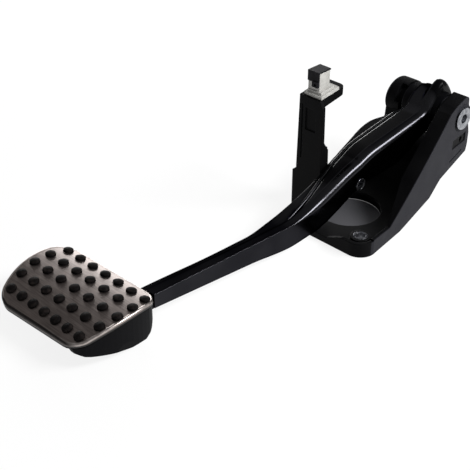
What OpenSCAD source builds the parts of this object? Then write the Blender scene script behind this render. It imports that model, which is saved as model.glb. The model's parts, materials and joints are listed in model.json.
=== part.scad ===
// Car brake pedal: moulded bracket with flange, cheeks and switch post, swinging arm, studded pad.
// Millimetres. Origin at the centre of the pushrod opening on the mounting face, +Z along the
// pushrod axis, the pad towards -X and the pivot towards +X.

/* [Mounting flange] */
// Opening centre to the front edge
flange_front = 48; // [46:1:56]
// Opening centre to the rear edge
flange_rear = 57; // [54:1:62]
// Width over the side walls at the front
flange_w = 107.6; // [102:0.2:118]
// Plate thickness
flange_t = 6; // [4:0.25:6.25]
// Front corner radius
corner_r = 14; // [10:1:18]
// Left edge of the flange beside the arm, ahead of the post
flange_left = 34; // [32:0.5:37]
// Height of the side wall
wall_h = 12.5; // [10:0.5:16]
// Moulded wall thickness
wall_t = 3.5; // [2.5:0.25:4.5]
// Diameter of the opening for the pushrod
opening_d = 55; // [46:1:58]

/* [Mounting bolts] */
// Bolt circle diameter of the two bolts, front right and rear left
bolt_circle = 96; // [94:0.5:99]
// Turn of the bolts away from the centre line
bolt_turn = 51.3; // [50:0.1:53]
// Bolt hole diameter
bolt_d = 8.4; // [6.4:0.2:9]
// Sleeve outer diameter
sleeve_d = 12; // [11:0.2:13]
// Height of the boss round each sleeve
boss_h = 9.3; // [8:0.1:11]
// Boss radius
boss_r = 8.6; // [7.5:0.1:9.5]
// Radius of the nut pocket in the left cheek
pocket_r = 9.5; // [9:0.25:11]

/* [Cheeks] */
// Inward lean of the right cheek per millimetre of length
cheek_lean = 0.1375; // [0.12:0.0025:0.14]
// Inward lean of the left cheek per millimetre of length
left_lean = 0.115; // [0.1:0.0025:0.125]
// Width of the inward rim at the ears
rim_w = 14.5; // [12:0.25:14.75]
// Rim thickness
rim_t = 3; // [2:0.25:4]
// Start of the rising top edge
rise_x = -8; // [-14:1:0]
// Sag of the top edge between wall and ear
top_sag = 2.5; // [0:0.25:4]
// Start of the rising lower edge
keel_x = 10; // [6:1:20]
// Lower edge at the kick
kick_z = 9; // [7:0.5:11]
// Lower edge behind the kick
heel_z = 20; // [17:0.5:22]
// Lower rear corner
tail_z = 29; // [26:0.5:32]
// Rear edge of the cheeks
tail_x = 121; // [119:0.5:124]
// Rib thickness
rib_t = 2.4; // [1.6:0.2:3]
// Rib depth from the cheek wall
rib_depth = 8; // [5:0.5:9]

/* [Ears and pivot] */
// Pivot behind the opening
pivot_x = 105.5; // [104:0.5:107.5]
// Pivot height above the mounting face
pivot_z = 67.5; // [67.5:0.5:71]
// Left ear radius
ear_r = 17.25; // [17:0.25:19]
// Top of the right ear above the pivot
ear_up = 18; // [17.5:0.5:20]
// Rear edge of the right ear behind the pivot
ear_back = 12; // [12:0.25:14]
// Rear corner radius of the right ear
ear_corner = 5.5; // [3:0.5:8]
// Rim thickness round the left ear
ear_rim = 5; // [3.5:0.25:5.5]
// Gap between the ears
ear_gap = 39; // [39:0.25:42]
// Pivot bolt diameter
pivot_d = 10; // [8:0.25:11]
// Bolt head diameter
head_d = 20; // [18:0.5:22]
// Bolt head thickness
head_t = 1.8; // [1.4:0.1:3]
// Socket across flats
socket_af = 8; // [6:0.5:10]
// Depth of the socket
socket_deep = 4; // [2:0.5:6]
// Spacer outer diameter
spacer_d = 16; // [14.5:0.25:17]
// Nut across flats
nut_af = 16; // [15:0.5:18]
// Nut height
nut_h = 6; // [4.5:0.5:7]
// Depth of the washer and nut in the left ear
nut_recess = 5; // [3:0.25:5.5]
// Washer diameter
washer_d = 22; // [19:0.5:24]
// Washer thickness
washer_t = 1.6; // [1:0.1:2.5]

/* [Hub] */
// Hub tube outer diameter
hub_d = 33; // [31:0.5:34]
// Hub tube wall
hub_wall = 5; // [3:0.25:6]
// Hub tube length
hub_len = 36; // [32:0.5:36]
// Collar of the arm shells round the hub tube
collar_t = 2; // [1.5:0.25:3]
// Rise of the right shell's lobe above its collar
lobe_h = 8.4; // [4:0.2:9]
// Bush collar thickness
bush_lip = 1.2; // [0.6:0.1:1.2]
// Bush depth in the tube
bush_depth = 13; // [8:0.5:15]
// Running clearance of the pivot, per side
run_fit = 0.05; // [0.02:0.01:0.1]

/* [Arm] */
// Pivot to the pad end of the arm
arm_len = 326.5; // [324:0.5:332]
// Near face from the opening centre plane
arm_near = 10.6; // [9:0.1:12]
// Swing of the arm towards the left per millimetre
arm_lean = 0.0568; // [0.05:0.001:0.06]
// Top of the lower run below the pivot
run_drop = 40.5; // [38.5:0.25:41]
// Rise of the shoulder between the two runs
shoulder = 31; // [28:0.5:33]
// Width of the top at the pad end
tip_w = 10; // [9:0.25:12]
// Width of the top at the cheeks
root_w = 23; // [20:0.5:24]
// Depth at the pad end
tip_h = 12; // [10:0.25:12.5]
// Depth over the flange edge
knee_h = 20; // [17:0.25:20.25]
// Depth between the cheeks
root_h = 34; // [30:0.5:37]
// Left lower shoulder width
wing_w = 6.4; // [5:0.2:7]
// Swell of the lower shoulder
wing_swell = 7.2; // [3:0.2:8]
// Lower shoulder width at both ends of the arm
wing_tip = 5.4; // [4:0.2:6]
// Step from the right shell down to the left one
wing_step = 3; // [2:0.25:4]
// Extra depth of the lower run ahead of the flange
belly = 1.5; // [0:0.25:2]
// Edge radius of the near ridge
ridge_r = 3.6; // [2:0.2:4.5]

/* [Pushrod eye] */
// Eye height above the mounting face
eye_z = 34.5; // [33:0.25:37]
// Clevis pin diameter
eye_pin_d = 8; // [6:0.25:9]
// Eye bush outer diameter
eye_bush_d = 10.8; // [10.2:0.2:13]
// Bush standing proud of the arm
eye_proud = 0.6; // [0.2:0.1:1.5]

/* [Pad] */
// Pad width
pad_w = 113.2; // [108:0.2:120]
// Pad length over the crown
pad_l = 77.8; // [72:0.2:82]
// Crown radius of the cover
crown_r = 99.2; // [90:0.2:110]
// Pad centre to the left of the opening centre plane
pad_y = 46.2; // [44:0.2:48]
// Slant of the pad's two ends
end_slant = 0.042; // [0:0.002:0.06]
// Pad middle above the arm's lower run
pad_rise = 6.9; // [6:0.1:8]
// Radius of the bowed pad sides
side_r = 90; // [75:1:120]
// Widest place of the left side behind the pad middle
bow_left = 13; // [4:0.5:14]
// Widest place of the right side behind the pad middle
bow_right = 3; // [-6:0.5:8]
// Corner radius in plan
pad_corner = 12; // [9:0.5:14]
// Radius of the rear left corner
heel_corner = 17; // [12:0.5:20]
// Tilt of the pad at its middle
pad_tilt = 5.4; // [2:0.1:7]
// Cover sheet thickness
cover_t = 0.9; // [0.6:0.1:1.4]
// Depth of the folded cover edge
fold_h = 3; // [2:0.25:3.5]
// Rubber between cover and foot
rubber_t = 2.6; // [2.2:0.1:3.4]
// Depth of the rubber edge round the foot
skirt_h = 0.3; // [0.2:0.1:1.2]
// Stud rows along the pad
stud_rows = 5; // [3:1:5]
// Studs in each row
stud_cols = 7; // [5:1:7]
// Stud diameter
stud_d = 8; // [7:0.2:9.6]
// Stud height above the cover
stud_h = 2.7; // [1.5:0.1:3.2]
// Spacing of the stud rows
row_pitch = 14.4; // [13:0.05:15]
// Stud rows to the left of the pad centre
stud_shift = -1.8; // [-3:0.1:2]
// Stud rows behind the pad middle
row_shift = 1.2; // [-1:0.1:2]
// Pad edge to the outer studs
stud_margin = 8; // [7:0.1:10]
// Radius on which the outer studs lie
row_r = 74.5; // [70:0.5:120]
// Longest stud row behind the pad middle
row_bow = 6.5; // [0:0.1:8]
// Clearance round each stud
stud_fit = 0.25; // [0.15:0.05:0.5]

/* [Foot] */
// Foot inside the pad edge at the sides
foot_side = 4.6; // [3.4:0.2:6]
// Foot inside the pad edge at the ends
foot_end = 3; // [2.6:0.1:4]
// Foot inside the pad edge below the rubber's edge
foot_flare = 0.8; // [0.6:0.2:3]
// Underside at the heel, above the mounting face
foot_low = 0.6; // [0.4:0.1:2]
// Slope of the underside towards the toe
foot_rise = 0.24; // [0.18:0.01:0.3]
// Length of the arm's tongue in the foot
tongue_l = 26; // [18:1:32]
// Tongue height
tongue_h = 4.6; // [4:0.1:5]
// Clearance of the tongue in its socket
tongue_fit = 0.15; // [0.05:0.05:0.3]

/* [Switch post] */
// Front face of the post ahead of the opening centre
post_x = 20; // [18:0.5:22]
// Right edge of the post
post_right = 17.4; // [17:0.1:19]
// Left edge of the post
post_left = 44; // [42:0.5:46]
// Left edge below the step
post_foot = 48.5; // [47:0.5:50]
// Height of the step
post_step = 37; // [30:1:46]
// Top of the post
post_top = 107; // [103:0.5:112]
// Post wall thickness
post_t = 3.6; // [2.6:0.2:4.2]
// Depth of the left post edge
post_depth = 13; // [9:0.5:15]
// Shelf reach behind the opening centre
shelf_x = 12.5; // [9:0.5:14]
// Right edge of the shelf
shelf_right = 21; // [20:0.5:23]
// Shelf thickness
shelf_t = 6.4; // [5:0.2:8]
// Rise of the shelf along its length
shelf_rise = 3.7; // [0:0.1:5]

/* [Switch retainer] */
// Retainer width
holder_w = 18.6; // [16:0.2:20]
// Retainer length along the shelf
holder_l = 22; // [19:0.5:24]
// Tower length
tower_l = 12.4; // [11:0.2:14]
// Tower width
tower_w = 12; // [10:0.2:12.6]
// Tower height above the shelf
tower_h = 21; // [18:0.25:23]
// Stem diameter through the shelf
stem_d = 9; // [7:0.25:10]
// Spring clip sheet thickness
clip_t = 1.2; // [0.8:0.1:1.6]
// Front leg of the spring clip
clip_leg = 8; // [6:0.25:9]
// Rear leg of the spring clip
clip_tail = 10; // [7:0.25:11]

/* [Hidden] */
$fn = 64;
sleeve_fit = 0.05;
weld_gap = 0.05;
gap = 0.15;
half_w = flange_w / 2;
open_r = opening_d / 2;
cheek_x0 = -flange_front + corner_r + 1;
bolt_x = bolt_circle / 2 * cos(bolt_turn);
bolt_y = bolt_circle / 2 * sin(bolt_turn);
pivot_seat = 0.4;
seat_right = half_w - cheek_lean * (pivot_x - cheek_x0) + pivot_seat;
seat_left = post_foot - left_lean * (pivot_x + post_x) - nut_recess;
sleeve_h = boss_h + 0.2;
bush_r = spacer_d / 2 + run_fit;
hub_bore = hub_d / 2 - hub_wall;
collar_r = hub_d / 2 + collar_t;
arm_tip = pivot_x - arm_len;
run_z = pivot_z - run_drop;
foot_gap = 0.2;
rubber_r = crown_r - cover_t - gap;
foot_r = rubber_r - rubber_t - foot_gap;
pad_mid = arm_tip - pad_l / 2 - 1;
crown_x = pad_mid + (crown_r + stud_h) * sin(pad_tilt);
crown_z = run_z + pad_rise - (crown_r + stud_h) * cos(pad_tilt);
mouth_x = arm_tip + 1.2;
tongue_z = run_z - 8.2;
shelf_slope = shelf_rise / (shelf_x + post_x);
holder_x = -post_x + 2 + holder_l / 2;
holder_y = shelf_right + 0.4 + holder_w / 2;
tower_x = holder_x - 2.2;
tower_y = holder_y + 1.6;
tower_z = post_top + tower_h;

// Plan line of the outer face of the right cheek, and of the left one
function right_y(x) = half_w - cheek_lean * max(0, x - cheek_x0);
function left_y(x) = post_foot - left_lean * (x + post_x);
function unit(v) = v / norm(v);
function step01(t) = t <= 0 ? 0 : t >= 1 ? 1 : t * t * (3 - 2 * t);
function arc(cx, cy, r, a0, a1, n) =
    [for (i = [0:n]) let(a = a0 + (a1 - a0) * i / n) [cx + r * cos(a), cy + r * sin(a)]];
// Closed outline moved inwards by d, corner by corner
function inset(p, d) = let(n = len(p)) [for (i = [0:n - 1])
    let(a = unit(p[i] - p[(i + n - 1) % n]), b = unit(p[(i + 1) % n] - p[i]),
        na = [-a[1], a[0]], nb = [-b[1], b[0]])
    p[i] + (na + nb) * d / (1 + na * nb)];

module along_y(y0, y1) {
    translate([0, y1, 0]) rotate([90, 0, 0]) linear_extrude(y1 - y0) children();
}
module rod(x, z, r, y0, y1) {
    translate([x, y0, z]) rotate([-90, 0, 0]) cylinder(r = r, h = y1 - y0);
}

/* Bracket */
function keel(x0) = [[x0, 0], [keel_x, 0], [59, kick_z], [76, heel_z], [tail_x, tail_z],
    [tail_x + 1.6, tail_z + 7], [tail_x + 1.6, tail_z + 18]];
function right_side() = let(back = pivot_x + ear_back, top = pivot_z + ear_up, front = pivot_x - 22, n = 10)
    concat(keel(cheek_x0), [[back + 1.4, pivot_z - 8.5]],
        arc(back - ear_corner - 1.6, top - ear_corner, ear_corner, 8, 98, 6), [[pivot_x - 13, top - 3.2]],
        [for (i = [0:n]) let(t = 1 - i / n, z = top - 6.4)
            [rise_x + (front - rise_x) * t, wall_h + (z - wall_h) * t - 4 * top_sag * t * (1 - t)]],
        [[cheek_x0, wall_h + 1]]);
// The left cheek stays below the arm and climbs to its ear behind it
function left_side() = concat(keel(-post_x), arc(pivot_x, pivot_z, ear_r, -20, 205, 30),
    [[pivot_x - 16.5, pivot_z - 16], [pivot_x - 26, pivot_z - 27], [57, 32], [bolt_x + 10, wall_h + 2],
    [4, wall_h], [-post_x, wall_h]]);

// Closed plan of a cheek: its outer line, and how far its rim reaches inwards from the front to the ear
module cheek_plan(line, inner) {
    polygon(concat(line, [for (i = [len(line) - 1:-1:0]) line[i] - [0, inner[i]]]));
}
module rib(a, long) {
    translate([pivot_x, 0, pivot_z]) rotate([0, -a, 0]) translate([8, 0, -rib_t / 2]) cube([long, 60, rib_t]);
}
// A cheek: thin outer wall with an inward rim along its outline, ribs, and the bored boss of its ear
module cheek(side, line, inner, seat, deep, rim, angles) {
    ear_in = ear_gap / 2;
    wall = [for (p = line) wall_t];
    x0 = keel_x;
    difference() {
        intersection() {
            along_y(0, 60) polygon(side);
            union() {
                difference() {
                    translate([0, 0, -1]) linear_extrude(130) cheek_plan(line, inner);
                    intersection() {
                        along_y(-1, 61) union() {
                            intersection() {
                                polygon(inset(side, rim_t));
                                translate([x0, 0]) square([pivot_x - 24 - x0, 120]);
                            }
                            intersection() {
                                polygon(inset(side, rim));
                                translate([pivot_x - 24.1, 0]) square([80, 120]);
                            }
                        }
                        translate([0, -wall_t, -1]) linear_extrude(130)
                            polygon(concat(line, [[200, -10], [-60, -10]]));
                    }
                }
                intersection() {
                    translate([0, 0, -1]) linear_extrude(130) cheek_plan([for (p = line) p - [0, wall_t - 1]],
                        [for (p = line) rib_depth + 1]);
                    for (a = angles) rib(a, 150);
                }
                rod(pivot_x, pivot_z, spacer_d / 2 + 4, ear_in, seat - 1);
                rod(pivot_x, pivot_z, washer_d / 2 + 1.6 + min(deep, rim_t), seat - rim_t - 1,
                    seat + max(0, deep - 1));
            }
        }
        rod(pivot_x, pivot_z, spacer_d / 2 + sleeve_fit, 0, 60);
        rod(pivot_x, pivot_z, washer_d / 2 + 1.6, seat, 60);
        translate([pivot_x - 40, -1, 0]) cube([80, ear_in + 1, 130]);
    }
}
module right_cheek() {
    x1 = tail_x + 6;
    xs = [cheek_x0, rise_x, open_r + 2, x1];
    mirror([0, 1, 0]) cheek(right_side(), [for (x = xs) [x, right_y(x)]], [wall_t, wall_t, rim_w, rim_w],
        seat_right, 0, rim_t, [196, 214, 234, 256]);
}
// The left one carries a half-round pocket for the nut of the rear bolt, and its ear is open to the front
module left_cheek() {
    xs = [-post_x, 44, 68, tail_x + 6];
    difference() {
        union() {
            cheek(left_side(), [for (x = xs) [x, left_y(x)]], [wall_t, wall_t, rim_w, rim_w],
                seat_left, nut_recess, ear_rim, [204, 228, 252]);
            intersection() {
                along_y(0, 60) polygon(left_side());
                translate([bolt_x, bolt_y, 0]) cylinder(r = pocket_r + wall_t - 0.5, h = 40);
            }
        }
        translate([bolt_x, bolt_y, flange_t]) cylinder(r = pocket_r, h = 60);
        along_y(0, seat_left - rim_t) polygon(concat(
            arc(pivot_x, pivot_z, spacer_d / 2 + 4.5, 114, 176, 6), arc(pivot_x, pivot_z, 30, 176, 114, 6)));
    }
}
module flange_plan(d) {
    translate([-flange_front + corner_r, -half_w + corner_r]) circle(corner_r - d);
    translate([-flange_front + corner_r, flange_left - corner_r]) circle(corner_r - d);
    translate([-flange_front + d, -half_w + corner_r])
        square([corner_r + 2, half_w + flange_left - 2 * corner_r]);
    polygon([[-flange_front + corner_r, -half_w + d], [cheek_x0, -half_w + d], [keel_x, -right_y(keel_x) + d],
        [flange_rear - 9, -34 + d], [flange_rear - d, -24], [flange_rear - d, 24],
        [flange_rear - 9, 34 - d], [keel_x + 12, left_y(keel_x + 12) - d], [-post_x, left_y(-post_x) - d],
        [-post_x, flange_left + 6 - d], [-flange_front + corner_r, flange_left - d]]);
}
// Floor between the cheeks, along their lower edge
module ramp() {
    low = keel(cheek_x0);
    n = len(low) - 3;
    intersection() {
        along_y(-60, 60) polygon(concat([for (i = [1:n]) low[i]],
            [for (i = [n:-1:1]) low[i] + [-1.2, wall_t]]));
        translate([0, 0, -1]) linear_extrude(130) polygon([[keel_x, -right_y(keel_x) + 1],
            [tail_x + 1, -right_y(tail_x) + 1], [tail_x + 1, left_y(tail_x) - 1],
            [keel_x, left_y(keel_x) - 1]]);
    }
}
module post() {
    base = flange_t - 1;
    difference() {
        union() {
            translate([-post_x, 0, 0]) rotate([90, 0, 90]) linear_extrude(post_t) polygon([
                [post_right, base], [post_foot, base], [post_foot, post_step - 3],
                [post_left + 0.6, post_step], [post_left - 1, post_top - 2], [post_left - 3, post_top],
                [shelf_right, post_top],
                [shelf_right - 3, post_top - 6], [post_right, post_top - 40]]);
            along_y(post_right, post_right + post_t) polygon([[-post_x, base], [-post_x + 11, base],
                [-post_x + 9, post_top - 46], [-post_x + post_t, post_top - 38], [-post_x, post_top - 38]]);
            along_y(post_left - 1 - post_t, post_left - 1) polygon([
                [-post_x, base], [-post_x + post_depth + 6, base], [-post_x + post_depth, post_step],
                [-post_x + post_depth, post_top], [-post_x, post_top]]);
            along_y(post_foot - post_t, post_foot) polygon([[-post_x, base], [-post_x + post_depth + 6, base],
                [-post_x + post_depth, post_step - 3], [-post_x, post_step - 3]]);
            for (z = [post_step - 5, post_step + 24]) translate([-post_x + 1, post_right + 1, z])
                cube([8, post_left - post_right - 2, rib_t]);
            translate([-post_x + 1, post_left - 3, post_step - 5])
                cube([post_depth - 2, post_foot - post_left + 2, rib_t]);
        }
        translate([-post_x - 1, shelf_right + 4, post_top - 30])
            cube([1.9, post_left - shelf_right - 12, 20]);
        translate([-post_x - 1, post_left - 5.4, post_step + 12]) cube([1.7, 1.6, post_top - post_step - 20]);
    }
}
module shelf() {
    y1 = post_left - 1;
    r = 6;
    difference() {
        intersection() {
            along_y(0, 60) polygon([[-post_x, post_top - shelf_t - 1.5],
                [shelf_x, post_top + shelf_rise - shelf_t], [shelf_x, post_top + shelf_rise],
                [-post_x, post_top]]);
            translate([0, 0, post_top - 20]) linear_extrude(40) union() {
                translate([-post_x, shelf_right]) square([post_x + shelf_x - r, y1 - shelf_right]);
                translate([-post_x, shelf_right + r]) square([post_x + shelf_x, y1 - shelf_right - 2 * r]);
                for (y = [shelf_right + r, y1 - r]) translate([shelf_x - r, y]) circle(r);
            }
        }
        translate([holder_x, holder_y, post_top - 20]) cylinder(d = stem_d + 0.3, h = 40);
    }
}
module pedal_bracket() {
    color([0.13, 0.13, 0.14]) difference() {
        union() {
            linear_extrude(flange_t) flange_plan(0);
            intersection() {
                linear_extrude(wall_h) difference() {
                    flange_plan(0);
                    flange_plan(wall_t);
                }
                translate([-flange_front - 1, 0, 0]) rotate([90, 0, 90])
                    linear_extrude(flange_front + keel_x + 1) polygon([
                        [-60, 0], [20, 0], [20, flange_t], [-16, flange_t], [-31, wall_h], [-60, wall_h]]);
            }
            right_cheek();
            left_cheek();
            ramp();
            post();
            shelf();
            for (s = [-1, 1]) translate([s * bolt_x, s * bolt_y, 0]) cylinder(r = boss_r, h = boss_h);
            translate([bolt_x, bolt_y, 0]) cylinder(r = pocket_r + wall_t - 0.5, h = flange_t);
        }
        translate([0, 0, -1]) cylinder(r = open_r, h = flange_t + 1.01);
        translate([0, 0, flange_t]) cylinder(r = open_r + 0.8, h = 10);
        for (s = [-1, 1]) translate([s * bolt_x, s * bolt_y, -1])
            cylinder(d = sleeve_d + 2 * sleeve_fit, h = 30);
        right_cheek_marks();
    }
}
// Shallow pocket with its hole, and the long slot above the lower edge of the right cheek
module right_cheek_marks() {
    mark_x = 93;
    lean = atan(cheek_lean);
    translate([mark_x, -right_y(mark_x), 0]) rotate([0, 0, lean]) {
        translate([0, -3, 41]) cube([24, 3.8, 9]);
        translate([-2.4, -3, 29.6]) rotate([0, -9.2, 0]) cube([22, 4, 1.5]);
        translate([16, -5, 45.5]) rotate([-90, 0, 0]) cylinder(r = 2.5, h = 12);
    }
}

/* Sleeves and pivot */
module tube_z(x, y, od, id, z0, z1) {
    translate([x, y, z0]) difference() {
        cylinder(d = od, h = z1 - z0);
        translate([0, 0, -1]) cylinder(d = id, h = z1 - z0 + 2);
    }
}
module tube_y(od, id, y0, y1) {
    difference() {
        rod(pivot_x, pivot_z, od / 2, y0, y1);
        rod(pivot_x, pivot_z, id / 2, y0 - 1, y1 + 1);
    }
}
module flange_sleeve(x, y) {
    color([0.62, 0.63, 0.65]) tube_z(x, y, sleeve_d, bolt_d, 0, sleeve_h);
}
module flange_sleeve_front() flange_sleeve(-bolt_x, -bolt_y);
module flange_sleeve_rear() flange_sleeve(bolt_x, bolt_y);

module ear_sleeve_right() {
    color([0.62, 0.63, 0.65]) tube_y(spacer_d, pivot_d + 0.3, -seat_right, -ear_gap / 2);
}
module ear_sleeve_left() {
    color([0.62, 0.63, 0.65]) tube_y(spacer_d, pivot_d + 0.3, ear_gap / 2, seat_left);
}
module pivot_spacer() {
    color([0.7, 0.7, 0.72]) tube_y(spacer_d, pivot_d + 0.3, -ear_gap / 2, ear_gap / 2);
}
module pivot_bolt() {
    tip = seat_left + washer_t + nut_h + 1.5;
    color([0.55, 0.56, 0.58]) difference() {
        union() {
            rod(pivot_x, pivot_z, pivot_d / 2, -seat_right - 1, tip);
            rod(pivot_x, pivot_z, head_d / 2, -seat_right - head_t, -seat_right);
        }
        translate([pivot_x, -seat_right - head_t - 1, pivot_z]) rotate([-90, 0, 0])
            cylinder(d = socket_af / cos(30), h = 1 + socket_deep, $fn = 6);
    }
}
module pivot_washer() {
    color([0.7, 0.7, 0.72]) tube_y(washer_d, pivot_d + 0.4, seat_left, seat_left + washer_t);
}
module pivot_nut() {
    y0 = seat_left + washer_t;
    color([0.6, 0.6, 0.62]) difference() {
        union() {
            translate([pivot_x, y0, pivot_z]) rotate([-90, 0, 0])
                cylinder(d = nut_af / cos(30), h = nut_h, $fn = 6);
            rod(pivot_x, pivot_z, nut_af / 2 + 2, y0, y0 + 1.6);
        }
        rod(pivot_x, pivot_z, pivot_d / 2 + 0.03, y0 - 1, y0 + nut_h + 1);
    }
}
module bush() {
    y1 = hub_len / 2;
    difference() {
        union() {
            rod(pivot_x, pivot_z, hub_bore, y1 - bush_depth, y1);
            rod(pivot_x, pivot_z, hub_d / 2 - 1, y1, y1 + bush_lip);
        }
        rod(pivot_x, pivot_z, bush_r, 0, y1 + 5);
    }
}
module pivot_bush_left() {
    color([0.85, 0.84, 0.78]) bush();
}
module pivot_bush_right() {
    color([0.85, 0.84, 0.78]) mirror([0, 1, 0]) bush();
}
module hub_tube() {
    color([0.1, 0.1, 0.11]) tube_y(hub_d, 2 * hub_bore, -hub_len / 2, hub_len / 2);
}

/* Arm */
function smooth_max(a, b, k) = max(a, b) + pow(max(k - abs(a - b), 0), 2) / (4 * k);
function swell(x, c, l) = abs(x - c) < l ? (1 + cos(180 * (x - c) / l)) / 2 : 0;
// Height of the collar above the pivot at x
function disc(x) = sqrt(max(0, collar_r * collar_r - pow(x - pivot_x, 2)));
function run_top(x) = run_z + shoulder * step01((x + 85) / 105) + 0.165 * max(0, x);
function run_low(x) = let(run = run_z - 0.2 - tip_h + (tip_h - knee_h) * (x - arm_tip) / (-54 - arm_tip))
    x < -54 ? run - belly * swell(x, -88, 36) : run_z - 0.2 - knee_h
        + (run_top(14) - root_h + 4.8 - run_z + knee_h) * step01((x + 54) / 68)
        + 0.05 * max(0, x - 14) + 18 * step01((x - 46) / 44);
function arm_top(x) = x > pivot_x ? pivot_z + disc(x)
    : smooth_max(run_top(x), x > pivot_x - collar_r ? pivot_z + disc(x) : 0, 8);
function arm_low(x) = x > pivot_x ? pivot_z - disc(x)
    : -smooth_max(-run_low(x), x > pivot_x - collar_r ? disc(x) - pivot_z : -99, 5);
function lobe_top(x) = let(peak = pivot_x + 3.5) arm_top(x) + lobe_h * swell(x, peak, x < peak ? 30 : 17);
function arm_side(x) = -arm_near - (x < 0 ? arm_lean : 0.02) * x;
function arm_ridge(x) = arm_side(x) + tip_w + (root_w - tip_w) * step01((x + 75) / 89);
// Where the two pressed shells of the arm meet
function arm_seam(x) = (arm_side(x) + arm_ridge(x)) / 2;
function arm_wing(x) = arm_ridge(x) + wing_tip + (wing_w - wing_tip) * step01((x + 175) / 60)
    - (wing_w - 1.5) * step01((x - 50) / 26) + wing_swell * (swell(x, -68, 50) + 0.95 * swell(x, 47, 42));
function wing_drop(x) = 1 + (wing_step - 1) * step01((x - arm_tip) / 90);
function at_x(x, pts) = [for (p = pts) [x, p[0], p[1]]];
// Right shell: side, near ridge, top, far ridge, then back under the top to the seam
function right_ring(x) = let(n = arm_side(x), f = arm_ridge(x), m = arm_seam(x), b = arm_low(x),
        t = arm_top(x), l = lobe_top(x), r = ridge_r, q = 0.8 * wing_drop(x))
    at_x(x, concat(arc(n + r, b + r, r, 270, 180, 4), arc(n + r, l - r, r, 180, 90, 6),
        [[n + r + 1.2, l], [m + 1.5, t]],
        arc(f - q, t - q, q, 90, 0, 4), [[f, t - wing_drop(x)], [m, t - wing_drop(x)], [m, b]]));
// Left shell: from the seam out under the right shell's edge, over the shoulder and down
function left_ring(x) = let(f = arm_ridge(x), m = arm_seam(x) + weld_gap, w = arm_wing(x), b = arm_low(x),
        t = arm_top(x) - wing_drop(x) - weld_gap, r = ridge_r, s = 1.4)
    at_x(x, concat([[m, b], [m, t]], arc(w - s, t - s, s, 90, -10, 4),
        arc(f - r + 0.5, b + r, r, 330, 270, 4)));
arm_xs = concat([for (i = [0:34]) mouth_x + (86 - mouth_x) * i / 34],
    [for (a = [-60:12:72]) pivot_x + collar_r * sin(a)]);
module loft(rings) {
    m = len(rings[0]);
    k = len(rings);
    polyhedron(points = [for (r = rings) each r], faces = concat(
        [[for (j = [m - 1:-1:0]) j]], [[for (j = [0:m - 1]) (k - 1) * m + j]],
        [for (i = [0:k - 2], j = [0:m - 1]) let(a = i * m + j, b = i * m + (j + 1) % m)
            each [[a, b, b + m], [a, b + m, a + m]]]));
}
module tongue(d) {
    y0 = arm_side(arm_tip) + 1;
    translate([mouth_x - tongue_l - 2 * d, y0 - d, tongue_z - tongue_h - d])
        cube([tongue_l + 2 * d - gap, tip_w - 1 + 2 * d, tongue_h + 2 * d]);
}
module arm_bores() {
    rod(pivot_x, pivot_z, hub_d / 2 + 0.02, -40, 40);
    rod(0, eye_z, eye_bush_d / 2 + 0.02, -40, 40);
}
module arm_shell_right() {
    color([0.06, 0.06, 0.065]) difference() {
        union() {
            loft([for (x = arm_xs) right_ring(x)]);
            tongue(0);
            translate([mouth_x - 1, arm_side(arm_tip) + 1, tongue_z - tongue_h])
                cube([4, arm_seam(mouth_x) - arm_side(arm_tip) - 1.5, tongue_h]);
        }
        arm_bores();
    }
}
module arm_shell_left() {
    color([0.06, 0.06, 0.065]) difference() {
        loft([for (x = arm_xs) left_ring(x)]);
        arm_bores();
    }
}
module pushrod_bush() {
    color([0.6, 0.6, 0.62]) difference() {
        rod(0, eye_z, eye_bush_d / 2, arm_side(0) - eye_proud, arm_ridge(0) + 4);
        rod(0, eye_z, eye_pin_d / 2, -40, 40);
    }
}

/* Pad */
function crown_a(s) = -pad_tilt + s / crown_r * 180 / PI;
function bowed(w, r, s) = w / 2 - r + sqrt(r * r - s * s);
// Half width at s along the crown, d inside the edge at the sides and g at the ends, side 1 the left one
function half_y(s, d, g, side) = let(l = pad_l / 2 - g, c = side > 0 && s > 0 ? heel_corner : pad_corner,
        r = max(2, c - d), k = max(0, abs(s) - l + r))
    bowed(pad_w, side_r, s - (side > 0 ? bow_left : bow_right)) - d - r + sqrt(max(0, r * r - k * k));
function edge_point(s, d, g, side) = let(y = side * half_y(s, d, g, side),
        long = s - end_slant * y * abs(s) / (pad_l / 2))
    [crown_x + crown_r * sin(crown_a(long)), pad_y + y];
function pad_edge(d, g, n) = let(l = pad_l / 2 - g, stations = [for (i = [0:n]) l * sin(-90 + 180 * i / n)])
    concat([for (s = stations) edge_point(s, d, g, -1)],
        [for (i = [n:-1:0]) edge_point(stations[i], d, g, 1)]);
module pad_block(d, g, n) {
    translate([0, 0, -20]) linear_extrude(80) polygon(pad_edge(d, g, n));
}
module crown(r) {
    rod(crown_x, crown_z, r, pad_y - 80, pad_y + 80);
}
module layer(d, g, r, n) {
    intersection() {
        pad_block(d, g, n);
        crown(r);
    }
}
module at_studs() {
    for (i = [0:stud_rows - 1]) {
        s = (i - (stud_rows - 1) / 2) * row_pitch + row_shift;
        a = crown_a(s);
        pitch = bowed(pad_w - 2 * stud_margin, row_r, s - row_bow) / ((stud_cols - 1) / 2);
        for (j = [0:stud_cols - 1])
            translate([crown_x + crown_r * sin(a), pad_y + stud_shift + (j - (stud_cols - 1) / 2) * pitch,
                crown_z + crown_r * cos(a)]) rotate([0, a, 0]) children();
    }
}
module stud() {
    dome = (pow(stud_d / 2, 2) + 1.3 * 1.3) / 2.6;
    intersection() {
        translate([0, 0, -2.5]) cylinder(d = stud_d, h = stud_h + 2.5);
        translate([0, 0, stud_h - dome]) sphere(dome);
    }
}
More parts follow.
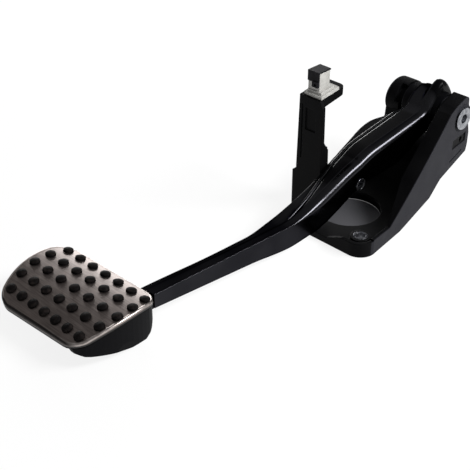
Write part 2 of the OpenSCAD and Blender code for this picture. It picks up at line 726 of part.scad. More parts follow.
module pad_rubber() {
    in = cover_t + gap;
    color([0.05, 0.05, 0.05]) difference() {
        union() {
            layer(in, in, rubber_r, 24);
            layer(0.3, 0.3, crown_r - fold_h - 0.4, 24);
            at_studs() stud();
        }
        intersection() {
            pad_block(2.6, 2.2, 24);
            crown(rubber_r - rubber_t);
        }
        crown(rubber_r - rubber_t - skirt_h);
        arm_notch();
    }
}
// Room in the rubber's rear edge for the arm
module arm_notch() {
    play = 0.4;
    translate([mouth_x - 8, arm_side(arm_tip) - play, run_z - 20])
        cube([12, arm_wing(mouth_x) - arm_side(arm_tip) + 2 * play, 20 + play]);
}
module pad_cover() {
    color([0.75, 0.73, 0.72]) difference() {
        union() {
            layer(0, 0, crown_r - 1.5, 32);
            layer(0.35, 0.35, crown_r - 0.7, 32);
            layer(1.2, 1.2, crown_r, 32);
        }
        layer(cover_t, cover_t, crown_r - cover_t, 32);
        crown(crown_r - fold_h);
        at_studs() translate([0, 0, -4]) cylinder(d = stud_d + 2 * stud_fit, h = 8);
    }
}
module pedal_foot() {
    heel = crown_x + crown_r * sin(crown_a(pad_l / 2 - foot_end));
    toe = crown_x + crown_r * sin(crown_a(-pad_l / 2 + foot_end));
    low = foot_low;
    toe_z = low + (heel - 30 - toe) * foot_rise + 1;
    color([0.07, 0.07, 0.075]) difference() {
        intersection() {
            union() {
                layer(foot_side, foot_end, foot_r, 24);
                layer(foot_flare, foot_flare, foot_r - skirt_h - 0.4, 24);
            }
            along_y(-60, 140) polygon([
                [heel + 3, 60], [heel + 2.4, run_z - 9], [heel - 2, low + 9], [heel - 6, low + 3.4],
                [heel - 12, low + 0.5], [heel - 17, low], [heel - 24, low + 1], [toe + 6, toe_z],
                [toe + 1.5, toe_z + 2.5], [toe - 2, 60]]);
            translate([toe - 10, 0, 0]) rotate([90, 0, 90]) linear_extrude(heel - toe + 20) polygon(concat(
                [[pad_y - 58, 60], [pad_y - 56, 12], [pad_y - 55, low + 1.5], [pad_y - 51.5, low - 1]],
                [[pad_y - 24, low - 1]], arc(pad_y - 24, low + 119, 120, -82, -60, 6),
                [[pad_y + 58, 60]]));
            linear_extrude(60) polygon([[toe - 3, pad_y - 60], [toe - 1, pad_y - 46], [toe + 6, pad_y - 26],
                [toe + 8, pad_y + 60], [heel + 9, pad_y + 60], [heel + 9, pad_y - 60]]);
        }
        tongue(tongue_fit);
    }
}

/* Switch retainer */
module switch_holder() {
    z0 = post_top + shelf_slope * (holder_x + post_x);
    up = atan(shelf_slope);
    color([0.9, 0.9, 0.88]) union() {
        translate([holder_x, holder_y, z0]) rotate([0, -up, 0]) union() {
            translate([-holder_l / 2, -holder_w / 2, 0]) cube([holder_l, holder_w, 3]);
            translate([-holder_l / 2 + 2, -holder_w / 2 + 2, 2.9]) cube([holder_l - 6, holder_w - 4, 2]);
        }
        translate([holder_x, holder_y, z0 - shelf_t - 2]) cylinder(d = stem_d, h = shelf_t + 4);
        translate([tower_x - tower_l / 2, tower_y - tower_w / 2, z0 + 2])
            cube([tower_l, tower_w, tower_z - z0 - 2]);
    }
}
module spring_clip() {
    x0 = tower_x - tower_l / 2 - clip_t;
    x1 = tower_x + tower_l / 2;
    color([0.08, 0.08, 0.085]) difference() {
        union() {
            translate([x0, tower_y - tower_w / 2, tower_z]) cube([x1 - x0 + clip_t, tower_w, clip_t]);
            translate([x0, tower_y - tower_w / 2, tower_z - clip_leg])
                cube([clip_t, tower_w, clip_leg + clip_t]);
            translate([x1, tower_y + tower_w / 2 - 5, tower_z - clip_tail])
                cube([clip_t, 5, clip_tail + clip_t]);
            translate([x0 - 1, tower_y - tower_w / 2, tower_z - clip_leg - 4]) cube([clip_t + 1, 6.4, 5]);
        }
        translate([x0 - 2, tower_y - tower_w / 2 + 3.2, tower_z - clip_leg - 1.8]) rotate([0, 90, 0])
            cylinder(d = 2.4, h = 6);
    }
}

pedal_bracket();
flange_sleeve_front();
flange_sleeve_rear();
ear_sleeve_right();
ear_sleeve_left();
pivot_bolt();
pivot_washer();
pivot_nut();
pivot_spacer();
pivot_bush_right();
pivot_bush_left();
hub_tube();
arm_shell_right();
arm_shell_left();
pushrod_bush();
pedal_foot();
pad_rubber();
pad_cover();
switch_holder();
spring_clip();
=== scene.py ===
import json
import math

import bpy
import numpy as np
from mathutils import Matrix, Vector


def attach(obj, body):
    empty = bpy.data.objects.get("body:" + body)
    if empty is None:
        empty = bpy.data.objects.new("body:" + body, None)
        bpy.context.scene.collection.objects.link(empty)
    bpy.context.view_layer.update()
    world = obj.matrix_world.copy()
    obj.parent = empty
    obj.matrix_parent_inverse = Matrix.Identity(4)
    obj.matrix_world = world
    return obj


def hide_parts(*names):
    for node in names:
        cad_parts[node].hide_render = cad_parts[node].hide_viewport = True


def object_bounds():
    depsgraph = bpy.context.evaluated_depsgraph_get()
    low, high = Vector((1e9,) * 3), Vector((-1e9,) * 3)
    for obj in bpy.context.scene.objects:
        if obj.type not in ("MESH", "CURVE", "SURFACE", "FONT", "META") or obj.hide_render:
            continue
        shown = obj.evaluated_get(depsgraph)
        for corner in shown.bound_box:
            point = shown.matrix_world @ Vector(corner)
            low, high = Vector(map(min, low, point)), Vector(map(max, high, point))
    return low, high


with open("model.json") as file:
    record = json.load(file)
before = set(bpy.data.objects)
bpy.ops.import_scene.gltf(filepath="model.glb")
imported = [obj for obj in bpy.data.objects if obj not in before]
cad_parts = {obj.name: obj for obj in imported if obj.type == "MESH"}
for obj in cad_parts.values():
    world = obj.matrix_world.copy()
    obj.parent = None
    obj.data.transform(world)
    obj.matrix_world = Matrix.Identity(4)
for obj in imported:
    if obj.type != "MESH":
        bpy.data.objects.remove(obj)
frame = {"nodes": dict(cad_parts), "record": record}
cadLow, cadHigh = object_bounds()
print("frame loaded")


# Nodes and colours

# sRGB hex code to linear light, by the sRGB curve
def hexToLinear(code):
    parts = [int(code[i:i + 2], 16) / 255 for i in (1, 3, 5)]
    return tuple(p / 12.92 if p <= 0.04045 else ((p + 0.055) / 1.055) ** 2.4 for p in parts) + (1.0,)


# Adds one node: settings name its sockets or properties, links give the sockets that feed it
def addNode(tree, kind, settings=(), links=()):
    node = tree.nodes.new(kind)
    for key, value in dict(settings).items():
        if isinstance(key, str) and hasattr(node, key):
            setattr(node, key, value)
        else:
            node.inputs[key].default_value = value
    for key, source in dict(links).items():
        tree.links.new(source, node.inputs[key])
    return node


# Starts a material with its Principled shader and the object's own coordinates
def startMaterial(name, sockets):
    material = bpy.data.materials.new(name)
    material.use_nodes = True
    tree = material.node_tree
    shader = tree.nodes["Principled BSDF"]
    for key, value in sockets.items():
        shader.inputs[key].default_value = value
    place = addNode(tree, "ShaderNodeTexCoord").outputs["Object"]
    return material, tree, shader, place


# Noise scale for a pattern whose grains are that many millimetres across
def perMillimetres(size):
    return 1000 / size


# A surface is one look table: a pattern of that grain size in mm picks the colour between dark and light and the
# roughness between smooth and rough, a finer one raises the bump, and edges are seen rounded by that radius in mm.
# In each of its zones the outer colour takes over; a zone lies beyond all its planes: a direction, its mm, its fade.
# Where the direction is a centre in x and z, the zone lies nearer than that to the axis through it along y
def makeSurface(name, look):
    material, tree, shader, place = startMaterial(name, look.get("sockets", {}))
    stretch = look.get("stretch", (1, 1, 1))
    along = addNode(tree, "ShaderNodeMapping", {"Scale": tuple(perMillimetres(look["cloud"]) * s for s in stretch)},
                    {"Vector": place}).outputs["Vector"]
    cloud = addNode(tree, "ShaderNodeTexNoise", {"Scale": 1.0, "Detail": look.get("detail", 3.0)},
                    {"Vector": along}).outputs["Fac"]
    tint = addNode(tree, "ShaderNodeValToRGB", links={"Fac": cloud})
    for stop, position, code in zip(tint.color_ramp.elements, look.get("band", (0.35, 0.65)), look["colours"]):
        stop.position = position
        stop.color = hexToLinear(code)
    colour = tint.outputs["Color"]
    metal = None
    for zone in look.get("zones", ()):
        share = None
        for direction, reach, fade in zone:
            if len(direction) == 2:
                centre = (-direction[0] / 1000, 0, -direction[1] / 1000)
                spoke = addNode(tree, "ShaderNodeVectorMath", {"operation": "MULTIPLY_ADD", 1: (1, 0, 1), 2: centre},
                                {0: place}).outputs[0]
                height, fade = addNode(tree, "ShaderNodeVectorMath", {"operation": "LENGTH"}, {0: spoke}), -fade
            else:
                height = addNode(tree, "ShaderNodeVectorMath", {"operation": "DOT_PRODUCT", 1: direction}, {0: place})
            beyond = addNode(tree, "ShaderNodeMapRange", {"From Min": (reach - fade) / 1000,
                             "From Max": (reach + fade) / 1000}, {"Value": height.outputs["Value"]}).outputs["Result"]
            share = beyond if share is None else addNode(tree, "ShaderNodeMath", {"operation": "MULTIPLY"},
                                                         {0: share, 1: beyond}).outputs[0]
        colour = addNode(tree, "ShaderNodeMix", {"data_type": "RGBA", 7: hexToLinear(look["outer"])},
                         {0: share, 6: colour}).outputs[2]
        bare = addNode(tree, "ShaderNodeMath", {"operation": "SUBTRACT", 0: 1.0}, {1: share}).outputs[0]
        metal = bare if metal is None else addNode(tree, "ShaderNodeMath", {"operation": "MULTIPLY"},
                                                   {0: metal, 1: bare}).outputs[0]
    if look.get("metalElsewhere"):
        tree.links.new(metal, shader.inputs["Metallic"])
    tree.links.new(colour, shader.inputs["Base Color"])
    smooth, rough = look["roughness"]
    shine = addNode(tree, "ShaderNodeMapRange", {"From Min": 0.3, "From Max": 0.7, "To Min": smooth, "To Max": rough},
                    {"Value": cloud}).outputs["Result"]
    tree.links.new(shine, shader.inputs["Roughness"])
    grain = addNode(tree, "ShaderNodeTexNoise", {"Scale": perMillimetres(look["grain"]), "Detail": 2.0},
                    {"Vector": place}).outputs["Fac"]
    bump = addNode(tree, "ShaderNodeBump", {"Strength": look["relief"], "Distance": 0.0001}, {"Height": grain})
    if look.get("edge"):
        rounded = addNode(tree, "ShaderNodeBevel", {"samples": 6, "Radius": look["edge"] / 1000})
        tree.links.new(rounded.outputs["Normal"], bump.inputs["Normal"])
    tree.links.new(bump.outputs["Normal"], shader.inputs["Normal"])
    return material


looks = {
    # Glass-filled nylon, injection moulded: deep black. Its outer cheek walls are painted lighter grey, painted light
    # as if lit from the side, and a recess set into them keeps the deep black as painted shade
    "bracket_plastic": ("bracketNylon", {"colours": ("#050506", "#0a0a0b"), "roughness": (0.42, 0.52), "cloud": 24,
                        "grain": 0.9, "relief": 0.22, "edge": 0.7, "sockets": {"Specular IOR Level": 0.04},
                        "outer": "#202024", "zones": ((((0.1375, -1, 0), 48.6, 0.15),), (((0.115, 1, 0), 45.1, 0.5),))}),
    # Cathodic dip coat on pressed steel: near black and glossy, with a slight orange peel. All but the far half of the
    # upper run and the near side at the hub takes a dark metal's reflection, strongest face on: a painted sheen, placed
    # along the arm to shape the highlights on its ridges
    "arm_paint": ("armCoat", {"colours": ("#2e2e31", "#343437"), "roughness": (0.18, 0.22), "cloud": 30, "grain": 3.0,
                  "relief": 0.04, "outer": "#060607", "zones": ((((0.04, 1, 0), -1.5, 0.5), ((1, 0, 0), -44, 14), ((-1, 0, 0), -82, 7)),
                            (((-0.04, -1, 0), 1.5, 0.5), ((1, 0, 0), 91, 5))),
                  "metalElsewhere": True, "sockets": {"Specular IOR Level": 0.15, "Specular Tint": (0, 0, 0, 1)}}),
    # The same coat where it lies duller, on the hub tube and the foot
    "hub_tube": ("hubCoat", {"colours": ("#050507", "#08080a"), "roughness": (0.42, 0.5), "cloud": 30, "grain": 2.0,
                 "relief": 0.05, "sockets": {"Specular IOR Level": 0.05}}),
    # Stainless sheet, fine brushed across the pad: pinkish grey, satin. Under its rolled edge the rubber shows black
    "pad_steel": ("padStainless", {"colours": ("#625a57", "#7a716d"), "roughness": (0.32, 0.42), "cloud": 0.9,
                  "stretch": (1, 0.04, 1), "grain": 0.8, "relief": 0.05, "outer": "#0b0909",
                  "zones": ((((-251.3, -67.5), 97.3, 0.2),),), "metalElsewhere": True}),
    # The same sheet on its rolled edge, painted lighter than the pad as a painted highlight along the roll, and dark
    # along the front
    "padRoll": ("rollStainless", {"colours": ("#9c9490", "#b0a8a4"), "roughness": (0.3, 0.36), "cloud": 3, "grain": 0.8,
                "relief": 0.03, "outer": "#171413", "zones": ((((-1, 0, 0), 294, 2),),), "metalElsewhere": True,
                "sockets": {"Specular IOR Level": 0.1}}),
    # Moulded rubber: black and dull, with grey scuffs where feet touch
    "pad_rubber": ("padRubber", {"colours": ("#0b0909", "#241f1d"), "band": (0.5, 0.8), "roughness": (0.55, 0.7),
                   "cloud": 4, "grain": 0.6, "relief": 0.3, "edge": 0.4, "sockets": {"Specular IOR Level": 0.05}}),
    # Turned mild steel
    "steel_sleeve": ("sleeveSteel", {"colours": ("#5e5f63", "#85868a"), "roughness": (0.24, 0.36), "cloud": 1.4,
                     "grain": 0.7, "relief": 0.12, "edge": 0.3, "sockets": {"Metallic": 1.0}}),
    # Zinc plate on steel: bright bluish grey
    "zinc_steel": ("zincPlate", {"colours": ("#74767b", "#a9abaf"), "roughness": (0.22, 0.34), "cloud": 2.4,
                   "grain": 0.9, "relief": 0.1, "edge": 0.3, "sockets": {"Metallic": 1.0}}),
    # Acetal with graphite, turned: dark grey, as nothing pale shows at the hub
    "bush_plastic": ("bushAcetal", {"colours": ("#17171a", "#1f1f22"), "roughness": (0.36, 0.44), "cloud": 6,
                     "grain": 1.2, "relief": 0.1, "edge": 0.3, "sockets": {"Specular IOR Level": 0.15}}),
    # White acetal, moulded
    "holder_plastic": ("holderAcetal", {"colours": ("#94938f", "#a6a5a1"), "roughness": (0.34, 0.42), "cloud": 8,
                       "grain": 1.0, "relief": 0.12, "edge": 0.5}),
    # Black acetal, moulded
    "clip_plastic": ("clipAcetal", {"colours": ("#161618", "#1e1e21"), "roughness": (0.36, 0.44), "cloud": 6,
                     "grain": 1.0, "relief": 0.15, "edge": 0.35, "sockets": {"Specular IOR Level": 0.05}}),
}
finishes = {slot: makeSurface(name, look) for slot, (name, look) in looks.items()}
finishes["pedal_foot"] = finishes["hub_tube"]

for part in frame["record"]["subparts"]:
    piece = frame["nodes"][part["node"]]
    piece.data.materials.clear()
    piece.data.materials.append(finishes.get(part["node"]) or finishes[part["material_slot"]])
print("materials on the nodes")


# Arm

# The sizes of the arm's two pressed shells in mm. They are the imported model's, but for rounder ridges, a finer bead,
# a lower edge less drawn up at the hub, and the top's last rise, here called saddle
arm = {"pivotX": 105.5, "pivotZ": 67.5, "length": 326.5, "near": 10.6, "lean": 0.0568, "runZ": 27.0, "shoulder": 31.0,
       "tipWidth": 10.0, "rootWidth": 23.0, "tipHeight": 12.0, "kneeHeight": 20.0, "rootHeight": 34.0,
       "wingTip": 5.4, "wingWidth": 6.4, "wingSwell": 7.2, "wingStep": 3.0, "belly": 1.5, "lobe": 8.4, "collar": 18.5,
       "seamGap": 0.05, "saddle": 8.0, "nearRadius": 6.2, "farRadius": 3.0, "rimRadius": 1.4, "hubBore": 16.52, "eyeZ": 34.5,
       "eyeBore": 5.42, "stations": 240, "tongue": 26.0}


# Smooth step from 0 to 1: three squares less two cubes
def step01(t):
    t = np.clip(t, 0, 1)
    return t * t * (3 - 2 * t)


# The greater of a and b, rounded over k where they meet
def smoothMax(a, b, k):
    return np.maximum(a, b) + np.maximum(k - np.abs(a - b), 0) ** 2 / (4 * k)


# One wave of a raised cosine, reach to each side of middle
def swell(x, middle, reach):
    return np.where(np.abs(x - middle) < reach, (1 + np.cos(np.pi * (x - middle) / reach)) / 2, 0)


# The arm's lines at each station x: side, ridge and wing are across, low, top and lobe are up
def armLines(x):
    tip = arm["pivotX"] - arm["length"]
    disc = np.sqrt(np.maximum(0, arm["collar"] ** 2 - (x - arm["pivotX"]) ** 2))
    hub = x > arm["pivotX"] - arm["collar"]

    def runTop(s):
        return arm["runZ"] + arm["shoulder"] * step01((s + 85) / 105) + 0.165 * np.maximum(0, s) \
            + arm["saddle"] * step01((s - 79) / 25)

    base = arm["runZ"] - 0.2
    run = base - arm["tipHeight"] + (arm["tipHeight"] - arm["kneeHeight"]) * (x - tip) / (-54 - tip)
    rise = runTop(14.0) - arm["rootHeight"] + 4.8 - arm["runZ"] + arm["kneeHeight"]
    runLow = np.where(x < -54, run - arm["belly"] * swell(x, -88, 36),
                      base - arm["kneeHeight"] + rise * step01((x + 54) / 68)
                      + 0.05 * np.maximum(0, x - 14) + 15.5 * step01((x - 46) / 44))
    top = np.where(x > arm["pivotX"], arm["pivotZ"] + disc,
                   smoothMax(runTop(x), np.where(hub, arm["pivotZ"] + disc, 0), 8))
    low = np.where(x > arm["pivotX"], arm["pivotZ"] - disc,
                   -smoothMax(-runLow, np.where(hub, disc - arm["pivotZ"], -99), 5))
    peak = arm["pivotX"] + 3.5
    lobe = top + arm["lobe"] * np.where(x < peak, swell(x, peak, 30), swell(x, peak, 17))
    side = -arm["near"] - np.where(x < 0, arm["lean"], 0.02) * x
    ridge = side + arm["tipWidth"] + (arm["rootWidth"] - arm["tipWidth"]) * step01((x + 75) / 89)
    wing = ridge + arm["wingTip"] + (arm["wingWidth"] - arm["wingTip"]) * step01((x + 175) / 60) \
        - (arm["wingWidth"] - 1.5) * step01((x - 50) / 26) \
        + arm["wingSwell"] * (swell(x, -68, 50) + 0.95 * swell(x, 47, 42))
    drop = 1 + (arm["wingStep"] - 1) * step01((x - tip) / 90)
    return {"side": side, "ridge": ridge, "seam": (side + ridge) / 2, "wing": wing, "low": low, "top": top,
            "lobe": lobe, "drop": drop}


# Arc of a ring at every station: centre plus radius times the cosine across and the sine up
def ringArc(across, up, radius, first, last, count):
    turn = np.radians(np.linspace(first, last, count))
    radius = np.broadcast_to(radius, across.shape)[:, None]
    return np.stack([across[:, None] + radius * np.cos(turn), up[:, None] + radius * np.sin(turn)], axis=2)


# Straight or eased line of a ring at every station, from one pair of lines to another
def ringLine(across, up, across2, up2, stops, ease=False):
    share = np.asarray(stops, float)
    climb = (1 - np.cos(np.pi * share)) / 2 if ease else share
    return np.stack([across[:, None] + (across2 - across)[:, None] * share,
                     up[:, None] + (up2 - up)[:, None] * climb], axis=2)


# Right shell: near side, rounded near ridge, top with its lobe, rounded far edge, back under it to the seam
def rightRings(x):
    a = armLines(x)
    depth = a["top"] - a["low"]
    r = np.minimum(arm["nearRadius"] * (0.03 + 0.97 * step01((x + 84) / 44)), depth / 2.2)
    q = arm["farRadius"] / 3 * a["drop"]
    side, top, low = a["side"], a["top"], a["low"]
    return np.concatenate([
        ringArc(side + r, low + r, r, 270, 180, 9),
        ringLine(side, low + r, side, a["lobe"] - r, (0.06, 0.5, 0.94)),
        ringArc(side + r, a["lobe"] - r, r, 180, 90, 15),
        ringLine(side + r + 1.0, a["lobe"], a["seam"] + 1.5, top, (0.1, 0.25, 0.4, 0.55, 0.7, 0.85, 1.0), True),
        ringArc(a["ridge"] - q, top - q, q, 90, 0, 9),
        ringLine(a["ridge"], top - a["drop"], a["seam"], top - a["drop"], (0.0, 1.0)),
        ringLine(a["seam"], top - a["drop"], a["seam"], low, (1.0,))], axis=1)


# Left shell: up the seam, out under the right shell's edge, over the weld bead, the wing and down
def leftRings(x):
    a = armLines(x)
    seam = a["seam"] + arm["seamGap"]
    top = a["top"] - a["drop"] - arm["seamGap"]
    start = a["ridge"] + 0.12
    bead = np.minimum(0.46 * a["drop"], 0.28 * (a["wing"] - start)) * (0.08 + 0.92 * step01((x + 85) / 30))
    s = np.minimum(arm["rimRadius"], (a["wing"] - start - 2 * bead) / 1.6)
    r = np.minimum(arm["nearRadius"], (top - a["low"]) / 2.4)
    end = a["wing"] - s
    crest = top + 1.15 * bead
    return np.concatenate([
        ringLine(seam, a["low"], seam, top, (0.0, 1.0)),
        ringLine(start - 0.1, top, start, top, (0.0, 1.0)),
        ringArc(start + bead, crest, bead, 180, -10, 13),
        ringLine(start + 2 * bead, top + 0.1 * bead, end, top, (0.15, 0.5, 0.9)),
        ringArc(end, top - s, s, 90, -10, 9),
        ringArc(a["ridge"] - r + 0.5, a["low"] + r, r, 330, 270, 9)], axis=1)


# Mesh of a closed body from its rings: quads between the rings, one face at each end
def loftPiece(name, x, rings):
    count, across = rings.shape[:2]
    points = np.concatenate([np.broadcast_to(x[:, None, None], (count, across, 1)), rings], axis=2) / 1000
    here = np.arange(count - 1)[:, None] * across + np.arange(across)
    beside = np.arange(count - 1)[:, None] * across + (np.arange(across) + 1) % across
    quads = np.stack([here, here + across, beside + across, beside], axis=2).reshape(-1, 4)
    ends = [list(range(across)), list(range((count - 1) * across, count * across))[::-1]]
    mesh = bpy.data.meshes.new(name)
    mesh.from_pydata(points.reshape(-1, 3).tolist(), [], quads.tolist() + ends)
    piece = bpy.data.objects.new(name, mesh)
    bpy.context.scene.collection.objects.link(piece)
    return piece


# Closed cylinder across the arm, or a block, used only to cut or to join
def toolPiece(name, rings, x):
    return loftPiece(name, np.asarray(x, float), np.asarray(rings, float))


def barRings(y0, y1, z0, z1, count):
    return np.broadcast_to(np.array([[y0, z0], [y0, z1], [y1, z1], [y1, z0]]), (count, 4, 2))


# Disc across the arm: at each station its chord's half height is the root of radius squared less distance squared
def discTool(x, z, radius):
    turn = np.linspace(0.5, 179.5, 60)
    stations = x - radius * np.cos(np.radians(turn))
    half = radius * np.sin(np.radians(turn))
    rings = np.stack([np.stack([np.full(60, -45.0), z - half], 1), np.stack([np.full(60, -45.0), z + half], 1),
                      np.stack([np.full(60, 45.0), z + half], 1), np.stack([np.full(60, 45.0), z - half], 1)], 1)
    return toolPiece("disc", rings, stations)


def joinOrCut(piece, tool, operation):
    change = piece.modifiers.new("change", "BOOLEAN")
    change.operation = operation
    change.solver = "EXACT"
    change.object = tool
    result = bpy.data.meshes.new_from_object(piece.evaluated_get(bpy.context.evaluated_depsgraph_get()))
    piece.modifiers.clear()
    piece.data = result
    bpy.data.objects.remove(tool)


def smoothPiece(piece, degrees):
    piece.data.polygons.foreach_set("use_smooth", np.ones(len(piece.data.polygons), bool))
    piece.data.set_sharp_from_angle(angle=math.radians(degrees))


def makeArm():
    tip = arm["pivotX"] - arm["length"]
    mouth = tip + 1.2
    rear = arm["pivotX"] + arm["collar"] * np.sin(np.radians(np.linspace(-60, 71, 60)))
    x = np.concatenate([np.linspace(mouth, rear[0] - 0.5, arm["stations"]), rear])
    lines = armLines(np.array([tip]))
    side, height = lines["side"][0] + 1, arm["runZ"] - 8.2
    for name, rings in (("arm_shell_right", rightRings(x)), ("arm_shell_left", leftRings(x))):
        shell = loftPiece(name + "_pressing", x, rings)
        if name == "arm_shell_right":
            tongue = barRings(side, side + arm["tipWidth"] / 2 - 1.3, height - 4.6, height, 2)
            joinOrCut(shell, toolPiece("tongue", tongue, (mouth - arm["tongue"], mouth + 2)), "UNION")
        joinOrCut(shell, discTool(arm["pivotX"], arm["pivotZ"], arm["hubBore"]), "DIFFERENCE")
        joinOrCut(shell, discTool(0, arm["eyeZ"], arm["eyeBore"]), "DIFFERENCE")
        smoothPiece(shell, 35)
        shell.data.materials.clear()
        shell.data.materials.append(finishes["arm_paint"])
        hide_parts(name)
        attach(shell, "pedal")


makeArm()
print("arm shells")


# Pad

# The pad's sizes in mm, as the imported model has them, and the radius of the roll round its edge
pad = {"width": 113.2, "length": 77.8, "crown": 99.2, "tilt": 5.4, "y": 46.2, "rise": 6.9, "studHeight": 2.7,
       "corner": 12.0, "heelCorner": 17.0, "sideRadius": 90.0, "bowRight": 3.0, "bowLeft": 13.0, "slant": 0.042,
       "roll": 1.6, "proud": 0.2, "stations": 96, "around": 16}


# The pad's crown is part of a cylinder along y: its centre in x and z
def crownCentre():
    reach, tilt = pad["crown"] + pad["studHeight"], math.radians(pad["tilt"])
    middle = arm["pivotX"] - arm["length"] - pad["length"] / 2 - 1
    return middle + reach * math.sin(tilt), arm["runZ"] + pad["rise"] - reach * math.cos(tilt)


# One long edge of the pad, that far inside its outline: a wide arc between two corner arcs, and its ends slanted
def padSide(inset, sign):
    half = pad["length"] / 2 - inset
    s = half * np.sin(np.radians(np.linspace(-90, 90, pad["stations"])))
    corner = np.where((sign > 0) & (s > 0), pad["heelCorner"], pad["corner"]) - inset
    past = np.maximum(0, np.abs(s) - half + corner)
    bow = s - (pad["bowLeft"] if sign > 0 else pad["bowRight"])
    across = sign * (pad["width"] / 2 - pad["sideRadius"] + np.sqrt(pad["sideRadius"] ** 2 - bow ** 2) - inset
                     - corner + np.sqrt(np.maximum(0, corner ** 2 - past ** 2)))
    turn = (s - pad["slant"] * across * np.abs(s) / (pad["length"] / 2)) / pad["crown"] - math.radians(pad["tilt"])
    return np.stack([crownCentre()[0] + pad["crown"] * np.sin(turn), pad["y"] + across], 1)


# The rolled edge: a circle carried round the pad's outline, its radius along the crown's radius and outwards
def makeRoll():
    middleX, middleZ = crownCentre()
    right, left = padSide(pad["roll"] + 0.2, -1), padSide(pad["roll"] + 0.2, 1)[::-1]
    ends = np.linspace(0, 1, 24)[1:-1, None]
    plan = np.concatenate([right, right[-1] + (left[0] - right[-1]) * ends, left, left[-1] + (right[0] - left[-1]) * ends])
    plan = plan[np.linalg.norm(plan - np.roll(plan, 1, axis=0), axis=1) > 0.02]
    height = pad["crown"] - pad["roll"] + pad["proud"]
    path = np.stack([plan[:, 0], plan[:, 1], middleZ + np.sqrt(height ** 2 - (plan[:, 0] - middleX) ** 2)], 1)
    along = np.roll(path, -1, axis=0) - np.roll(path, 1, axis=0)
    up = np.stack([path[:, 0] - middleX, 0 * path[:, 0], path[:, 2] - middleZ], 1)
    out = np.cross(along, up)
    up, out = (v / np.linalg.norm(v, axis=1, keepdims=True) for v in (up, out))
    turn = np.linspace(0, 2 * np.pi, pad["around"], endpoint=False)[None, :, None]
    points = path[:, None] + pad["roll"] * (np.cos(turn) * out[:, None] + np.sin(turn) * up[:, None])
    count, around = points.shape[:2]
    here = np.arange(count * around).reshape(count, around)
    quads = np.stack([here, np.roll(here, -1, axis=0), np.roll(here, (-1, -1), axis=(0, 1)), np.roll(here, -1, axis=1)], 2)
    mesh = bpy.data.meshes.new("padRoll")
    mesh.from_pydata((points.reshape(-1, 3) / 1000).tolist(), [], quads.reshape(-1, 4).tolist())
    roll = bpy.data.objects.new("padRoll", mesh)
    bpy.context.scene.collection.objects.link(roll)
    mesh.materials.append(finishes["padRoll"])
    smoothPiece(roll, 60)
    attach(roll, "pedal")


makeRoll()
print("pad roll")


# Camera, floor and lamps

# Places in metres: the lens looks along +X and +Y at 45 degrees, tipped down
view = {"place": (-0.6274, -0.4889, 0.4916), "heading": 45.0, "down": 33.0, "lens": 82.5, "sensor": 36.0}
# The floor's dark grey under the flange's opening is a painted shadow
studio = {"floor": "#f7f7f7", "world": 0.27, "floorSize": 30.0, "paperShare": 0.85, "opening": 0.0275,
          "paintedShadowUnderOpening": "#3e3e42"}
# Each lamp: its place, what it faces, the line its length follows, its size in metres and its radiance
lamps = {
    "stripLamp": ((0.47, -0.92, 0.98), (0.0, 0.0, 0.05), (0.88, 0.17, -0.1), (0.8, 0.36), 32.0),
    "rightLamp": ((-0.5, -1.2, 0.2), (0.0, 0.0, 0.05), (1, 0, 0), (1.2, 0.5), 1.4),
    "backLamp": ((0.66, 1.2, 0.36), (-0.05, 0.0, 0.03), (1, -0.35, -0.15), (0.9, 0.4), 11.0),
}


def aimAt(thing, target):
    thing.rotation_euler = (Vector(target) - thing.location).to_track_quat("-Z", "Y").to_euler()


def makeCamera():
    data = bpy.data.cameras.new("camera")
    data.sensor_width = view["sensor"]
    data.lens = view["lens"]
    data.clip_start = 0.01
    camera = bpy.data.objects.new("camera", data)
    bpy.context.scene.collection.objects.link(camera)
    camera.location = view["place"]
    turn, tip = math.radians(view["heading"]), math.radians(view["down"])
    ahead = Vector((math.cos(turn) * math.cos(tip), math.sin(turn) * math.cos(tip), -math.sin(tip)))
    aimAt(camera, camera.location + ahead)
    bpy.context.scene.camera = camera
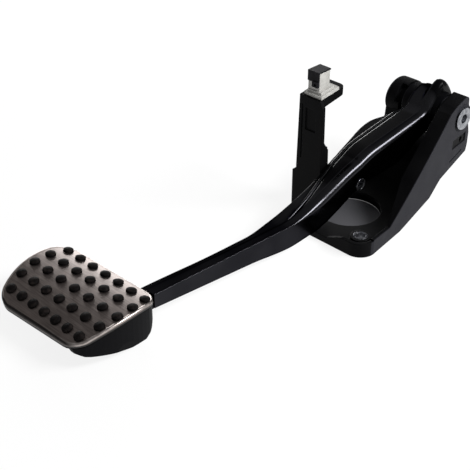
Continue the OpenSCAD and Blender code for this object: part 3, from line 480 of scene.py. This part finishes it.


# White paper: lens, metal and glass see most of it at white and the rest shaded, which keeps the object's shadow.
# Under the flange's opening the paper is painted dark grey, a painted shadow, and it is only seen as it is lit
def makeFloor():
    half = studio["floorSize"] / 2
    mesh = bpy.data.meshes.new("floor")
    mesh.from_pydata([(-half, -half, 0), (half, -half, 0), (half, half, 0), (-half, half, 0)], [], [(0, 1, 2, 3)])
    floor = bpy.data.objects.new("floor", mesh)
    bpy.context.scene.collection.objects.link(floor)
    floor.location.z = cadLow.z - 0.0005
    material, tree, shader, place = startMaterial("whitePaper", {"Roughness": 0.9})
    rays = addNode(tree, "ShaderNodeLightPath").outputs
    shiny = addNode(tree, "ShaderNodeMath", {"operation": "MAXIMUM"},
                    {0: rays["Is Glossy Ray"], 1: rays["Is Transmission Ray"]}).outputs[0]
    seen = addNode(tree, "ShaderNodeMath", {"operation": "MAXIMUM"}, {0: rays["Is Camera Ray"], 1: shiny}).outputs[0]
    away = addNode(tree, "ShaderNodeVectorMath", {"operation": "LENGTH"}, {0: place}).outputs["Value"]
    outside = addNode(tree, "ShaderNodeMapRange", {"From Min": studio["opening"], "From Max": studio["opening"] + 0.002},
                      {"Value": away}).outputs["Result"]
    # Inside the opening the paper takes the dark grey of the painted shadow
    paper = addNode(tree, "ShaderNodeMix", {"data_type": "RGBA", 6: hexToLinear(studio["paintedShadowUnderOpening"]),
                    7: hexToLinear(studio["floor"])}, {0: outside})
    tree.links.new(paper.outputs[2], shader.inputs["Base Color"])
    share = addNode(tree, "ShaderNodeMath", {"operation": "MULTIPLY", 1: studio["paperShare"]}, {0: outside}).outputs[0]
    part = addNode(tree, "ShaderNodeMath", {"operation": "MULTIPLY"}, {0: seen, 1: share}).outputs[0]
    white = addNode(tree, "ShaderNodeEmission", {"Color": (1, 1, 1, 1), "Strength": 1.0})
    mixed = addNode(tree, "ShaderNodeMixShader", links={0: part, 1: shader.outputs[0], 2: white.outputs[0]})
    tree.links.new(mixed.outputs[0], tree.nodes["Material Output"].inputs["Surface"])
    mesh.materials.append(material)


# Softbox: its length lies along a line, its face looks at the target, its watts are radiance times area times pi
def makeLamp(name, place, target, along, size, radiance):
    data = bpy.data.lights.new(name, "AREA")
    data.shape = "RECTANGLE"
    data.size, data.size_y = size
    data.energy = radiance * size[0] * size[1] * math.pi
    lamp = bpy.data.objects.new(name, data)
    bpy.context.scene.collection.objects.link(lamp)
    away = (Vector(place) - Vector(target)).normalized()
    across = (Vector(along) - away * Vector(along).dot(away)).normalized()
    lamp.matrix_world = Matrix.Translation(place) @ Matrix((across, away.cross(across), away)).transposed().to_4x4()


makeCamera()
makeFloor()
for name, lamp in lamps.items():
    makeLamp(name, *lamp)
world = bpy.data.worlds.new("studio")
world.use_nodes = True
backdrop = world.node_tree.nodes["Background"]
backdrop.inputs["Color"].default_value = (1, 1, 1, 1)
backdrop.inputs["Strength"].default_value = studio["world"]
bpy.context.scene.world = world
bpy.context.scene.view_settings.view_transform = "Standard"
print("camera, floor and lamps")

bpy.context.view_layer.update()
